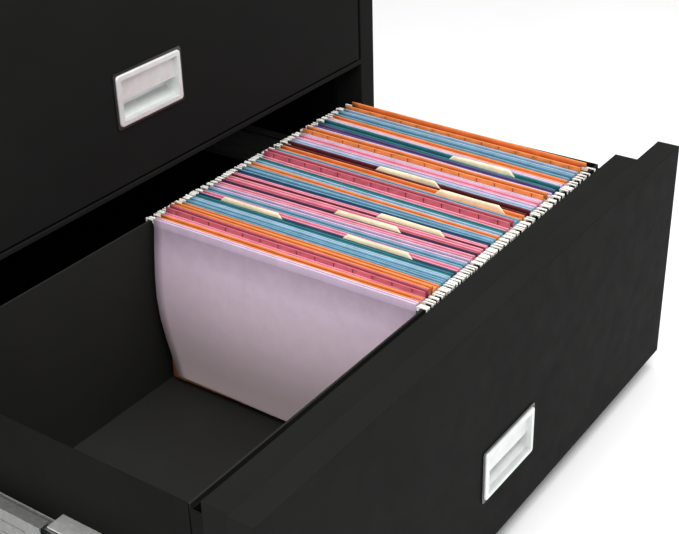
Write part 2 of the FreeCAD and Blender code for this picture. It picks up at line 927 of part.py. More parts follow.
def make_slides(name):
    """Both slides of one drawer. Returns each moving share with its sub-parts."""
    moving = {0.0: [], 0.25: [], 0.5: [], 0.75: [], 1.0: []}
    for side, hand in ((-1, "left"), (1, "right")):
        moving[0.0].append(make_cabinet_member(name, hand, side))
        moving[0.5].append(make_middle_member(name, hand, side))
        moving[1.0].append(make_drawer_member(name, hand, side))
        moving[1.0].append(make_slide_bracket(name, hand, side))
    sheet = size_of("slide_sheet")
    middle = size_of("middle_member_height") / 2
    outer_race = (size_of("cabinet_member_height") / 2 - sheet + middle) / 2
    inner_race = (middle - sheet + size_of("drawer_member_height") / 2) / 2
    moving[0.25].append(make_ball_retainers(
        name + "_outer_ball_retainers", half_mouth - 12.5, half_mouth - 8.5, outer_race,
        size_of("jamb_depth") + 131.0, 180.0, 6))
    moving[0.75].append(make_ball_retainers(
        name + "_inner_ball_retainers", half_mouth - 17.5, half_mouth - 13.5, inner_race,
        size_of("jamb_depth") + 118.0, 196.0, 6))
    return moving


# --------------------------------------------------------------- hanging folders


def repeat_along_x(body, feature, pitch, count):
    """Repeats a feature as separate solids."""
    body.AllowCompound = True
    pattern = body.newObject("PartDesign::LinearPattern", body.Label + "_pattern")
    pattern.Originals = [feature]
    pattern.Direction = (next(axis for axis in body.Origin.OriginFeatures if axis.Role == "X_Axis"), [""])
    bind(pattern, "Length", pitch * (count - 1))
    bind(pattern, "Occurrences", count)
    body.Tip = pattern
    doc.recompute()


def make_hanging_folders():
    """Legal-size folders that hang across the drawer, from front wall to back wall."""
    middle_y = (body_start + body_end) / 2
    half_width = size_of("folder_width") / 2
    pitch = size_of("folder_pitch")
    count = size_of("folder_count")
    first = size_of("first_folder")
    thickness = size_of("folder_thickness")
    rod_bottom = size_of("rod_bottom")
    folders = new_body("hanging_folders")
    leaf = along_y(folders, middle_y - half_width, middle_y + half_width,
                   rectangle(first, first + thickness, size_of("paper_bottom"), rod_bottom - 0.05))
    repeat_along_x(folders, leaf, pitch, count)

    rods = new_body("folder_rods")
    rod_top = size_of("rod_top")
    seat = wall_top + 0.4
    tip = body_start - 7.0
    far_tip = body_end + 7.0
    bar = [
        (tip, rod_bottom + 1.5),
        (body_start - 2.0, rod_bottom + 1.5),
        (body_start - 2.0, seat),
        (body_start + 2.0, seat),
        (body_start + 2.0, rod_bottom),
        (body_end - 2.0, rod_bottom),
        (body_end - 2.0, seat),
        (body_end + 2.0, seat),
        (body_end + 2.0, rod_bottom + 1.5),
        (far_tip, rod_bottom + 1.5),
        (far_tip, rod_top),
        (tip, rod_top),
    ]
    sheet = size_of("rod_sheet")
    strip = along_x(rods, first + 0.8, first + 0.8 + sheet, bar)
    repeat_along_x(rods, strip, pitch / 2, count * 2)
    return [folders, rods]


def make_folder_tabs():
    """Index tabs that stand above the folders, each between two of the hanging rods."""
    pitch = size_of("folder_pitch")
    start = size_of("first_folder") + size_of("rod_sheet") + 0.95
    low = size_of("rod_bottom")
    high = size_of("rod_top") + size_of("tab_rise")
    thickness = size_of("tab_thickness")
    length = size_of("tab_length")
    tabs = []
    for index, (folder, fore) in enumerate(TAB_PLACES):
        left = start + pitch * folder
        tabs.append(block("tab_%d" % index, (left, left + thickness),
                          (fore, fore + length), (low, high)))
    group = doc.addObject("Part::Compound", "tab_group")
    group.Links = tabs
    return keep(group, "folder_tabs")


# --------------------------------------------------------------------- assembly


def make_drawer(name, level, opened):
    """One drawer with its slides. opened is how far it stands out of the cabinet."""
    has_bolt_slot = name == "upper"
    moving = make_slides(name)
    moving[1.0] += [
        make_head_panel(name, has_bolt_slot),
        make_plug_pan(name),
        make_head_core(name, has_bolt_slot),
        make_pull_backplate(name),
        make_pull_cup(name),
        make_tray(name),
        make_drawer_side(name, "left", -1),
        make_drawer_side(name, "right", 1),
        make_head_brackets(name),
    ]
    for share, pieces in moving.items():
        for piece in pieces:
            place(piece, 0.0, front - opened * share, level)


def make_contents():
    contents = make_hanging_folders() + [make_folder_tabs()]
    for piece in contents:
        place(piece, 0.0, front - size_of("travel"), lower_level)


def check_and_write():
    doc.recompute()
    for item in doc.Objects:
        if "Invalid" in item.State or "Error" in item.State:
            raise RuntimeError("%s failed: %s" % (item.Label, item.State))
    os.makedirs("parts", exist_ok=True)
    for item in sub_parts:
        shape = item.Shape
        if shape.isNull() or not shape.isValid():
            raise RuntimeError(item.Label + " has no valid shape")
        shape.exportStep(os.path.join("parts", item.Label + ".step"))
    print("sub-parts written:", len(sub_parts))


make_side_panel("left_side_panel", -1)
make_side_panel("right_side_panel", 1)
make_top_panel()
make_bottom_pan()
make_back_panel()
make_middle_rail()
make_liner("lower_liner", lower_level)
make_liner("upper_liner", upper_level)
make_side_insulation("left_insulation", -1)
make_side_insulation("right_insulation", 1)
make_top_insulation()
make_bottom_insulation()
make_divider_insulation()
make_back_insulation()
make_lock()
make_drawer("lower", lower_level, size_of("travel"))
make_drawer("upper", upper_level, Size("0", 0.0))
make_contents()
check_and_write()
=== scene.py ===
import json
import math
import random

import bmesh
import bpy
from mathutils import Matrix, Vector


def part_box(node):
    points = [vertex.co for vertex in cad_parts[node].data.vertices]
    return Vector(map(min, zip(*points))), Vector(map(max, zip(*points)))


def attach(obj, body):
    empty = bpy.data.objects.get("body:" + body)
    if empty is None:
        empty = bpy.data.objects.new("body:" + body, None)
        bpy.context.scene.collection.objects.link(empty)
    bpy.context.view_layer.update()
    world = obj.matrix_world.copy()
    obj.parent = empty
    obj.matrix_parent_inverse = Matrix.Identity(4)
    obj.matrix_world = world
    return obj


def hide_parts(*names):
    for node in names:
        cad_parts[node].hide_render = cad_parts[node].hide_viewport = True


# Looks for the fire-insulated lateral filing cabinet. Metres, in the row frame: +X to the cabinet's
# right, -Y towards the user, +Z up, floor at Z = 0. The lower drawer stands open.

MM = 0.001

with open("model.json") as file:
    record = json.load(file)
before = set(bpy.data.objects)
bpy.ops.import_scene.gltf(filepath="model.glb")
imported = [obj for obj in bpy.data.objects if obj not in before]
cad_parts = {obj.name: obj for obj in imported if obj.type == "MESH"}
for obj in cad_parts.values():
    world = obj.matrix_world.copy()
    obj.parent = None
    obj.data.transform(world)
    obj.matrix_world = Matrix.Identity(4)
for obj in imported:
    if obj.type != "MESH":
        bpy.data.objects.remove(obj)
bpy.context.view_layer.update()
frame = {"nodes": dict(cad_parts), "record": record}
scene = bpy.context.scene
scene.view_settings.view_transform = "Standard"
scene.view_settings.look = "None"

# ------------------------------------------------------------------ camera

CAMERA_PLACE = Vector((-1.0488, -1.3148, 1.0359))
VIEW_DIRECTION = Vector((0.70363, 0.51158, -0.49314))
CAMERA_ROLL = math.radians(1.806)
SENSOR_WIDTH = 36.0
LENS = 69.15


def make_camera():
    data = bpy.data.cameras.new("camera")
    data.sensor_width = SENSOR_WIDTH
    data.lens = LENS
    data.clip_start = 0.05
    data.clip_end = 200.0
    camera = bpy.data.objects.new("camera", data)
    scene.collection.objects.link(camera)
    turn = VIEW_DIRECTION.to_track_quat("-Z", "Y")
    camera.rotation_mode = "QUATERNION"
    camera.rotation_quaternion = turn @ Matrix.Rotation(-CAMERA_ROLL, 3, "Z").to_quaternion()
    camera.location = CAMERA_PLACE
    scene.camera = camera


# ------------------------------------------------------------------ materials

class Recipe:
    """A material's node tree, with short ways to add the nodes that the finishes use."""

    def __init__(self, name, rough, metal=0.0, specular=0.5):
        self.material = bpy.data.materials.new(name)
        self.material.use_nodes = True
        self.tree = self.material.node_tree
        self.shader = self.tree.nodes["Principled BSDF"]
        self.shader.inputs["Roughness"].default_value = rough
        self.shader.inputs["Metallic"].default_value = metal
        self.shader.inputs["Specular IOR Level"].default_value = specular
        self.place = self.add("ShaderNodeTexCoord").outputs["Object"]
        self.normal = None

    def add(self, kind, **values):
        node = self.tree.nodes.new(kind)
        for key, value in values.items():
            setattr(node, key, value)
        return node

    def link(self, output, socket):
        self.tree.links.new(output, socket)

    def stretched(self, scale):
        mapping = self.add("ShaderNodeMapping")
        mapping.inputs["Scale"].default_value = scale
        self.link(self.place, mapping.inputs["Vector"])
        return mapping.outputs["Vector"]

    def noise(self, size, detail=3.0, rough=0.55, stretch=None):
        """Noise whose features are about `size` metres across."""
        node = self.add("ShaderNodeTexNoise")
        node.inputs["Scale"].default_value = 1.0 / size
        node.inputs["Detail"].default_value = detail
        node.inputs["Roughness"].default_value = rough
        self.link(self.stretched(stretch) if stretch else self.place, node.inputs["Vector"])
        return node.outputs["Fac"]

    def cells(self, size):
        node = self.add("ShaderNodeTexVoronoi", feature="F1")
        node.inputs["Scale"].default_value = 1.0 / size
        self.link(self.place, node.inputs["Vector"])
        return node.outputs["Distance"]

    def ramp(self, source, stops):
        """Colour ramp: stops are (position, colour)."""
        node = self.add("ShaderNodeValToRGB")
        elements = node.color_ramp.elements
        while len(elements) < len(stops):
            elements.new(0.5)
        for element, (position, colour) in zip(elements, stops):
            element.position = position
            element.color = (*colour, 1.0)
        self.link(source, node.inputs["Fac"])
        return node.outputs["Color"]

    def span(self, source, low, high, start=0.3, end=0.7):
        """Maps the source from start..end to low..high."""
        node = self.add("ShaderNodeMapRange")
        node.inputs["From Min"].default_value = start
        node.inputs["From Max"].default_value = end
        node.inputs["To Min"].default_value = low
        node.inputs["To Max"].default_value = high
        self.link(source, node.inputs["Value"])
        return node.outputs["Result"]

    def mix(self, share, first, second):
        node = self.add("ShaderNodeMix", data_type="RGBA", blend_type="MIX")
        for index, value in ((6, first), (7, second)):
            if isinstance(value, tuple):
                node.inputs[index].default_value = (*value, 1.0)
            else:
                self.link(value, node.inputs[index])
        if isinstance(share, float):
            node.inputs[0].default_value = share
        else:
            self.link(share, node.inputs[0])
        return node.outputs[2]

    def bump(self, source, depth, strength=1.0):
        node = self.add("ShaderNodeBump")
        node.inputs["Distance"].default_value = depth
        node.inputs["Strength"].default_value = strength
        self.link(source, node.inputs["Height"])
        if self.normal is not None:
            self.link(self.normal, node.inputs["Normal"])
        self.normal = node.outputs["Normal"]

    def soften_edges(self, radius):
        node = self.add("ShaderNodeBevel", samples=4)
        node.inputs["Radius"].default_value = radius
        self.normal = node.outputs["Normal"]

    def finish(self, colour=None, rough=None):
        if colour is not None:
            self.link(colour, self.shader.inputs["Base Color"])
        if rough is not None:
            self.link(rough, self.shader.inputs["Roughness"])
        if self.normal is not None:
            self.link(self.normal, self.shader.inputs["Normal"])
        return self.material


def powder_coat(name, colour, rough, specular=0.3, edge=0.7 * MM):
    """Baked black powder coat: fine orange peel, a satin sheen that varies, handling marks."""
    r = Recipe(name, rough, specular=specular)
    r.soften_edges(edge)
    r.bump(r.noise(1.6 * MM, detail=2.0), 0.05 * MM)
    r.bump(r.noise(0.35 * MM, detail=1.0), 0.02 * MM)
    tone = r.span(r.noise(90 * MM, detail=4.0), 0.94, 1.06)
    smudge = r.span(r.noise(28 * MM, detail=5.0, rough=0.65), rough - 0.05, rough + 0.07)
    shade = r.add("ShaderNodeVectorMath", operation="SCALE")
    shade.inputs[0].default_value = colour
    r.link(tone, shade.inputs["Scale"])
    return r.finish(shade.outputs["Vector"], smudge)


def satin_nickel(name):
    """Die casting with a satin nickel plate: very fine brush lines and a slight tarnish."""
    r = Recipe(name, 0.35, metal=0.45)
    r.soften_edges(0.3 * MM)
    lines = r.noise(0.5 * MM, detail=2.0, stretch=(0.08, 1.0, 1.0))
    r.bump(lines, 0.012 * MM)
    tone = r.ramp(r.noise(14 * MM, detail=4.0),
                  [(0.3, (0.74, 0.76, 0.75)), (0.7, (0.83, 0.85, 0.84))])
    return r.finish(tone, r.span(lines, 0.30, 0.44))


def gloss_plastic(name, colour):
    """Moulded plate with a gloss skin and slight sink marks."""
    r = Recipe(name, 0.16, specular=0.6)
    r.soften_edges(0.5 * MM)
    r.bump(r.noise(9 * MM, detail=1.0), 0.06 * MM)
    tone = r.ramp(r.noise(5 * MM), [(0.3, colour), (0.7, tuple(c * 1.5 for c in colour))])
    return r.finish(tone, r.span(r.noise(3 * MM, detail=4.0), 0.12, 0.24))


def zinc_plate(name, light):
    """Rolled steel with bright zinc: long rolling streaks, a soft spangle and small stains."""
    r = Recipe(name, 0.45, metal=0.45)
    r.soften_edges(0.4 * MM)
    streaks = r.noise(1.2 * MM, detail=3.0, stretch=(1.0, 0.03, 1.0))
    spangle = r.cells(7 * MM)
    r.bump(streaks, 0.02 * MM)
    warm = tuple(light * c for c in (0.80, 0.79, 0.74))
    cool = tuple(light * c for c in (0.66, 0.68, 0.68))
    tone = r.ramp(spangle, [(0.15, warm), (0.75, cool)])
    stain = r.span(r.noise(22 * MM, detail=6.0, rough=0.7), 0.0, 0.35, 0.55, 0.75)
    tone = r.mix(stain, tone, tuple(0.55 * c for c in warm))
    return r.finish(tone, r.span(streaks, 0.24, 0.42))


def bright_metal(name, colour, rough):
    """Chrome or ball steel with light wear."""
    r = Recipe(name, rough, metal=1.0)
    r.soften_edges(0.2 * MM)
    wear = r.noise(4 * MM, detail=5.0)
    tone = r.ramp(wear, [(0.35, tuple(0.85 * c for c in colour)), (0.65, colour)])
    r.bump(r.noise(0.6 * MM), 0.006 * MM)
    return r.finish(tone, r.span(wear, rough - 0.03, rough + 0.1))


def cast_insulation(name):
    """Cast mineral fill: sandy grains, pits and a cloudy grey-buff tone."""
    r = Recipe(name, 0.93, specular=0.15)
    grains = r.cells(2.4 * MM)
    r.bump(r.noise(9 * MM, detail=5.0), 0.6 * MM)
    r.bump(grains, 0.3 * MM)
    cloud = r.ramp(r.noise(40 * MM, detail=6.0),
                   [(0.3, (0.50, 0.48, 0.43)), (0.7, (0.66, 0.64, 0.58))])
    tone = r.mix(r.span(grains, 0.0, 0.35, 0.1, 0.6), cloud, (0.34, 0.32, 0.29))
    return r.finish(tone)


def card(name, colour, sheen=0.35, mottle=0.12, ripple=1.2 * MM, painted_light_low_colour=None):
    """Dyed card stock: fibres, a cloudy formation, and slight darker and lighter flecks.
    The tone given for the lower edge is painted light: the card fades to that paler tone towards
    its lower edge."""
    r = Recipe(name, 0.72, specular=sheen)
    fibres = r.noise(1.1 * MM, detail=6.0, rough=0.7, stretch=(1.0, 0.4, 1.0))
    cloud = r.noise(17 * MM, detail=4.0)
    r.bump(fibres, 0.03 * MM)
    r.bump(r.noise(60 * MM, detail=2.0), ripple, strength=0.5)
    dark = tuple(c * (1.0 - mottle) for c in colour)
    light = tuple(min(1.0, c * 1.07 + 0.01) for c in colour)
    tone = r.ramp(cloud, [(0.32, dark), (0.68, light)])
    fleck = tuple(min(1.0, c * 1.25 + 0.04) for c in colour)
    tone = r.mix(r.span(fibres, 0.0, 0.22, 0.5, 0.75), tone, fleck)
    # painted light: the card pales towards its lower edge, lifting the shade on its lower part
    if painted_light_low_colour is not None:
        height = r.add("ShaderNodeSeparateXYZ")
        r.link(r.place, height.inputs["Vector"])
        fade = r.span(height.outputs["Z"], 1.0, 0.0, leaf_bottom, rod_top)
        tone = r.mix(fade, tone, painted_light_low_colour)
    return r.finish(tone, r.span(cloud, 0.66, 0.8))


def white_plastic(name):
    """Dipped plastic coating on the folder hooks: creamy white with small grey scuffs."""
    r = Recipe(name, 0.38, specular=0.5)
    r.bump(r.noise(2.5 * MM, detail=2.0), 0.05 * MM)
    scuff = r.span(r.noise(5 * MM, detail=6.0, rough=0.7), 0.0, 0.5, 0.52, 0.75)
    tone = r.mix(scuff, (0.98, 0.965, 0.90), (0.78, 0.76, 0.69))
    return r.finish(tone, r.span(r.noise(3 * MM), 0.3, 0.5))


def office_paper(name):
    """The edges of filed sheets: fine layers across the stack, whose darker lines are painted shade
    between the sheets.
    """
    r = Recipe(name, 0.85, specular=0.2)
    layers_and_gap_shade = r.noise(0.35 * MM, detail=2.0, stretch=(1.0, 0.02, 0.02))
    r.bump(layers_and_gap_shade, 0.08 * MM)
    # the darker lines in this tone are painted shade between the sheets
    tone = r.ramp(layers_and_gap_shade, [(0.35, (0.56, 0.55, 0.51)), (0.6, (0.80, 0.79, 0.75))])
    return r.finish(tone)


def studio_floor(name):
    r = Recipe(name, 0.7, specular=0.2)
    tone = r.ramp(r.noise(0.5, detail=2.0), [(0.3, (0.88, 0.88, 0.88)), (0.7, (0.91, 0.91, 0.91))])
    return r.finish(tone)


PAINT_SPECULAR = 0.012
THIN_SHEET_EDGE = 0.4 * MM

# One finish for each material slot in the CAD record, and for the slide brackets a brighter copy of
# the same zinc: painted light.
finishes = {
    "cabinet_paint": powder_coat("cabinet_powder_coat", (0.0124, 0.0124, 0.0120), 0.52,
                                 PAINT_SPECULAR),
    "drawer_paint": powder_coat("drawer_powder_coat", (0.0086, 0.0086, 0.0082), 0.50,
                                PAINT_SPECULAR, THIN_SHEET_EDGE),
    "liner_paint": powder_coat("liner_powder_coat", (0.0040, 0.0040, 0.0040), 0.60, 0.05),
    "insulation": cast_insulation("cast_insulation"),
    "zinc": zinc_plate("zinc_plated_steel", 0.32),
    "bracket_lit_zinc": zinc_plate("lit_zinc_plated_steel", 0.72),
    "pull_metal": satin_nickel("satin_nickel"),
    "pull_black": gloss_plastic("gloss_black_plastic", (0.006, 0.006, 0.006)),
    "ball_steel": bright_metal("ball_steel", (0.62, 0.62, 0.64), 0.18),
    "lock_metal": bright_metal("lock_chrome", (0.74, 0.74, 0.75), 0.12),
    "folder_paper": card("card_plain", (0.62, 0.45, 0.60)),
    "folder_rod": white_plastic("hook_plastic"),
    "manila": card("manila_card", (0.86, 0.76, 0.52)),
}

# The drawer trays take a flatter coat than the outside, in a paler colour that is painted light,
# lifting the shade inside the drawer.
INNER_LIT_COAT = powder_coat("drawer_inner_lit_powder_coat", (0.0200, 0.0200, 0.0187), 0.62, 0.03,
                         THIN_SHEET_EDGE)
INNER_COAT_NODES = ("lower_tray", "upper_tray")


def paint_cad_nodes():
    for row in frame["record"]["subparts"]:
        node = frame["nodes"][row["node"]]
        node.data.materials.clear()
        finish = finishes[row["material_slot"]]
        # the trays' paler copy of the powder coat is painted light
        if row["node"] in INNER_COAT_NODES:
            finish = INNER_LIT_COAT
        # the brackets' brighter copy of the zinc is painted light, where the plain zinc rendered
        # dark
        if row["node"].endswith("slide_bracket"):
            finish = finishes["bracket_lit_zinc"]
        node.data.materials.append(finish)


# ------------------------------------------------------------------ mesh helpers

def mesh_piece(name, body, material, points, faces, smooth_angle=None):
    """A mesh object that rides on a CAD body."""
    mesh = bpy.data.meshes.new(name)
    mesh.from_pydata([tuple(p) for p in points], [], faces)
    mesh.validate()
    edit = bmesh.new()
    edit.from_mesh(mesh)
    bmesh.ops.recalc_face_normals(edit, faces=edit.faces)
    edit.to_mesh(mesh)
    edit.free()
    piece = bpy.data.objects.new(name, mesh)
    scene.collection.objects.link(piece)
    mesh.materials.append(material)
    if smooth_angle is not None:
        mesh.shade_smooth()
        mesh.set_sharp_from_angle(angle=math.radians(smooth_angle))
    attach(piece, body)
    return piece


def thicken(piece, thickness):
    solid = piece.modifiers.new("thickness", "SOLIDIFY")
    solid.thickness = thickness
    solid.offset = 0.0
    solid.use_even_offset = True


def apply_modifiers(piece):
    bpy.context.view_layer.update()
    graph = bpy.context.evaluated_depsgraph_get()
    mesh = bpy.data.meshes.new_from_object(piece.evaluated_get(graph))
    piece.modifiers.clear()
    old = piece.data
    piece.data = mesh
    bpy.data.meshes.remove(old)


def prism(points, faces, outline, axis_low, axis_high, to_point):
    """Adds a closed prism: outline is a list of 2-D points, to_point maps (a, b, along) to 3-D."""
    start = len(points)
    count = len(outline)
    for along in (axis_low, axis_high):
        points.extend(to_point(a, b, along) for a, b in outline)
    faces.append([start + i for i in range(count)])
    faces.append([start + count + i for i in reversed(range(count))])
    for i in range(count):
        j = (i + 1) % count
        faces.append([start + i, start + j, start + count + j, start + count + i])


def arc(centre, radius, start, end, steps):
    """Points on a circular arc, angles in degrees."""
    return [(centre[0] + radius * math.cos(math.radians(start + (end - start) * i / steps)),
             centre[1] + radius * math.sin(math.radians(start + (end - start) * i / steps)))
            for i in range(steps + 1)]


# ------------------------------------------------------------------ hanging folders

files_low, files_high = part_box("hanging_folders")
rods_low, rods_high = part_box("folder_rods")

COLOURS = {
    "lavender": (0.61, 0.465, 0.61),
    "lilac": (0.55, 0.42, 0.58),
    "orange": (0.76, 0.235, 0.06),
    # A paler orange for one thin folder beside the orange ones: painted light, standing for their
    # lit hem.
    "lit_orange": (0.78, 0.31, 0.20),
    "pink": (0.74, 0.26, 0.35),
    "rose": (0.52, 0.105, 0.145),
    "maroon": (0.11, 0.006, 0.012),
    "plum": (0.05, 0.022, 0.06),
    "indigo": (0.10, 0.07, 0.20),
    "blue": (0.145, 0.315, 0.435),
    "pale_blue": (0.30, 0.42, 0.55),
    "teal": (0.012, 0.15, 0.17),
    "navy": (0.006, 0.045, 0.10),
}

# The lavender folder's broad face fades to this paler tone towards its lower edge: painted light
# that lifts the shade on its lower part.
LAVENDER_PAINTED_LIGHT_LOW = (0.97, 0.78, 0.80)

# From the leftmost folder to the rightmost: colour, width at the top in millimetres, and
# whether its front leaf has tab slots.
FOLDERS = [
    ("lavender", 6, False), ("orange", 11, False), ("pink", 6, False), ("rose", 11, True),
    # The sixth folder's paler orange is painted light, for the lit hem of its orange neighbours.
    ("orange", 9, True), ("lit_orange", 6, False), ("orange", 7, False), ("blue", 8, False),
    ("blue", 7, False), ("pale_blue", 5, False), ("teal", 7, False), ("navy", 6, False),
    ("pink", 9, False), ("blue", 10, False), ("lilac", 11, False), ("pink", 8, False),
    ("plum", 8, False), ("rose", 6, False), ("pink", 8, False), ("maroon", 6, False),
    ("pink", 6, False), ("navy", 7, False), ("blue", 11, False), ("blue", 9, False),
    ("orange", 10, False), ("pale_blue", 9, False), ("teal", 7, False), ("pink", 9, False),
    ("rose", 12, True), ("blue", 8, False), ("blue", 7, False), ("orange", 15, False),
    ("maroon", 16, False), ("pale_blue", 7, False), ("lilac", 8, False), ("pink", 10, False),
    ("lilac", 5, False), ("orange", 15, True), ("lavender", 14, False), ("indigo", 12, False),
    ("teal", 17, False), ("lavender", 6, False), ("orange", 14, False), ("blue", 14, False),
    ("pale_blue", 13, False), ("orange", 25, True),
]

# How much further right a folder's rear end stands than its front end, along the row.
LEAN = [(0.0, -2.0), (0.08, 5.0), (0.16, 1.0), (0.28, -4.0), (0.36, 0.0), (0.45, 10.0),
        (0.72, 12.0), (0.82, 20.0), (0.93, 16.0), (1.0, 6.0)]

CARD = 0.4 * MM
TAB_CARD = 0.35 * MM

# A folder's section. FRONT_LEAF and LEAF_GAP are shares of its width at the top: where the front
# leaf hangs, and how far behind it the rear leaf hangs.
FRONT_LEAF = 0.12
LEAF_GAP = 0.66
HEM_RADIUS = 1.0 * MM
HEM_DEPTH = 11.0 * MM
HEM_TURN = 2.2 * MM
FOLD_DEPTH = 3.2 * MM
LEAF_PARTS = 26
SHEET_PITCH = 3.4 * MM
ROW_EXTRA = 6 * MM

# The first folder's lower part sweeps forward and up. The last and the slotted ones stand higher.
FIRST_BULGE = 5.0 * MM
FIRST_TUCK = 3.5 * MM
FRONT_SWEEP = 27.0 * MM
FRONT_RAISE = 8.0 * MM
LAST_RISE = 2.5 * MM
SLOTTED_RISE = 6.0 * MM

# Tab slots, cut through the front leaf and through these strips of the flap behind it.
SLOT_PITCH = 26.7 * MM
SLOT_WIDTH = 1.4 * MM
SLOT_CLEAR = 2 * MM
SLOT_TOP = HEM_RADIUS
SLOT_BOTTOM = 9.0 * MM
FLAP_SLOT_STRIPS = (1, 2)
paper_front = files_low.y
paper_rear = files_high.y
paper_middle = (paper_front + paper_rear) / 2
paper_depth = paper_rear - paper_front
rod_top = rods_high.z
leaf_bottom = files_low.z


def lean_at(share):
    for (s0, l0), (s1, l1) in zip(LEAN, LEAN[1:]):
        if share <= s1:
            t = (share - s0) / (s1 - s0)
            t = t * t * (3 - 2 * t)
            return (l0 + (l1 - l0) * t) * MM
    return LEAN[-1][1] * MM


def folder_places():
    """Where each folder starts at its rear end, how wide it is, and its lean."""
    total = sum(width for _, width, _ in FOLDERS)
    scale = (files_high.x - files_low.x + ROW_EXTRA) / (total * MM)
    places = []
    x = files_low.x
    for _, width, _ in FOLDERS:
        share = (x - files_low.x) / (files_high.x - files_low.x)
        places.append((x, width * scale * MM, lean_at(share)))
        x += width * scale * MM
    return places


def fore_and_aft_cuts(slotted):
    """Y positions across a folder, with a pair of cuts at each tab slot."""
    cuts = [paper_front + paper_depth * i / LEAF_PARTS for i in range(LEAF_PARTS + 1)]
    slots = []
    if slotted:
        count = int(paper_depth / SLOT_PITCH)
        first = paper_middle - SLOT_PITCH * (count - 1) / 2
        slots = [first + SLOT_PITCH * i for i in range(count)]
        for y in slots:
            cuts = [c for c in cuts if abs(c - y) > SLOT_CLEAR]
        for y in slots:
            cuts += [y - SLOT_WIDTH / 2, y + SLOT_WIDTH / 2]
    return sorted(cuts), slots


def folder_profile(width, bulge, tuck):
    """One folder's section, from the flap inside the front hem, over the front rod, down,
    round the bottom and up over the rear rod: (X from the folder's start, depth below the
    rods' top). Depth is positive downwards."""
    front = FRONT_LEAF * width + HEM_RADIUS
    rear = front + LEAF_GAP * width
    drop = rod_top - leaf_bottom
    points = [(front + HEM_RADIUS, HEM_DEPTH)]
    points += [(front + HEM_RADIUS, SLOT_BOTTOM), (front + HEM_RADIUS, HEM_TURN)]
    points += [(x, -z) for x, z in arc((front, -HEM_RADIUS), HEM_RADIUS, 0, 180, 4)]
    points.append((front - HEM_RADIUS, SLOT_BOTTOM))
    points += [(front - HEM_RADIUS, HEM_DEPTH), (front - 0.55 * HEM_RADIUS, HEM_DEPTH + 1.2 * MM)]
    down = 7
    for i in range(1, down + 1):
        share = i / down
        depth = HEM_DEPTH + 1.2 * MM + (drop - HEM_DEPTH - 5 * MM) * share
        out = -bulge * math.sin(math.pi * min(1.0, share * 1.25)) + tuck * share ** 3
        points.append((front - 0.5 * HEM_RADIUS + out, depth))
    bottom_x, bottom_depth = points[-1]
    centre = (bottom_x + rear) / 2
    radius = max(0.8 * MM, (rear - bottom_x) / 2)
    for i in range(1, 5):
        angle = math.pi * i / 5
        points.append((centre - radius * math.cos(angle),
                       bottom_depth + FOLD_DEPTH * math.sin(angle)))
    for i in range(down, 0, -1):
        share = i / down
        depth = HEM_DEPTH + (drop - HEM_DEPTH - 5 * MM) * share
        points.append((rear + 0.3 * HEM_RADIUS + 0.4 * tuck * share ** 3, depth))
    points += [(rear + HEM_RADIUS, HEM_DEPTH), (rear + HEM_RADIUS, HEM_TURN)]
    points += [(x, -z) for x, z in arc((rear, -HEM_RADIUS), HEM_RADIUS, 0, 180, 4)]
    points += [(rear - HEM_RADIUS, HEM_TURN), (rear - HEM_RADIUS, HEM_DEPTH)]
    return points


def add_folder(points, faces, place, slotted, first, last, rng):
    x, width, lean = place
    bulge = FIRST_BULGE if first else rng.uniform(0.0, 0.5) * MM
    tuck = FIRST_TUCK if first else 0.0
    section = folder_profile(width, bulge, tuck)
    cuts, slots = fore_and_aft_cuts(slotted)
    wave = rng.uniform(0.1, 0.45) * MM
    phase = rng.uniform(0, math.tau)
    turns = rng.uniform(0.7, 2.2)
    settle = rng.uniform(-0.5, 0.3) * MM
    if last:
        settle += LAST_RISE
    elif slotted:
        settle += SLOTTED_RISE
    start = len(points)
    for y in cuts:
        share = (y - paper_front) / paper_depth
        shift = lean * (share - 1.0) + wave * math.sin(math.tau * turns * share + phase)
        for px, depth in section:
            bow = 0.0
            sweep = 0.0
            level = rod_top - depth + settle
            if first:
                below = max(0.0, depth / (rod_top - leaf_bottom))
                belly = math.sin(math.pi * min(1.0, below ** 1.2))
                bow = -(4.0 * math.sin(math.pi * share) + 5.0 * share) * MM * belly
                sweep = -FRONT_SWEEP * share * max(0.0, below - 0.45) ** 1.5
                level += FRONT_RAISE * share * below ** 3
            points.append((x + px + shift + bow, y + sweep, level))
    across = len(section)
    for i in range(len(cuts) - 1):
        middle = (cuts[i] + cuts[i + 1]) / 2
        in_slot = any(abs(middle - y) < SLOT_WIDTH / 2 for y in slots)
        for j in range(across - 1):
            depth = (section[j][1] + section[j + 1][1]) / 2
            front_leaf = section[j][0] < FRONT_LEAF * width + HEM_RADIUS
            folded_flap = j in FLAP_SLOT_STRIPS
            if in_slot and (front_leaf or folded_flap) and SLOT_TOP < depth < SLOT_BOTTOM:
                continue
            a = start + i * across + j
            faces.append([a, a + 1, a + across + 1, a + across])
    add_inner_sheets(points, faces, place, slotted, rng)


def add_inner_sheets(points, faces, place, slotted, rng):
    """Coloured sheets and inner folders between the two leaves, a little lower than the hems.
    They stay clear of a slotted leaf, so that its slots show dark."""
    x, width, lean = place
    inside = LEAF_GAP * width - 2 * HEM_RADIUS
    count = int(inside / SHEET_PITCH)
    for k in range(1 if slotted else 0, count):
        offset = x + FRONT_LEAF * width + 2 * HEM_RADIUS + inside * (k + 0.6) / (count + 0.4)
        top = rod_top - rng.uniform(2.5, 6.5) * MM
        bend = rng.uniform(-0.5, 0.5) * MM
        start = len(points)
        parts = 8
        for i in range(parts + 1):
            share = 0.02 + 0.96 * i / parts
            shift = lean * (share - 1.0) + bend * math.sin(math.pi * share)
            y = paper_front + share * paper_depth
            for z in (top - 70 * MM, top - 20 * MM, top):
                points.append((offset + shift, y, z))
        for i in range(parts):
            for j in range(2):
                a = start + 3 * i + j
                faces.append([a, a + 1, a + 4, a + 3])


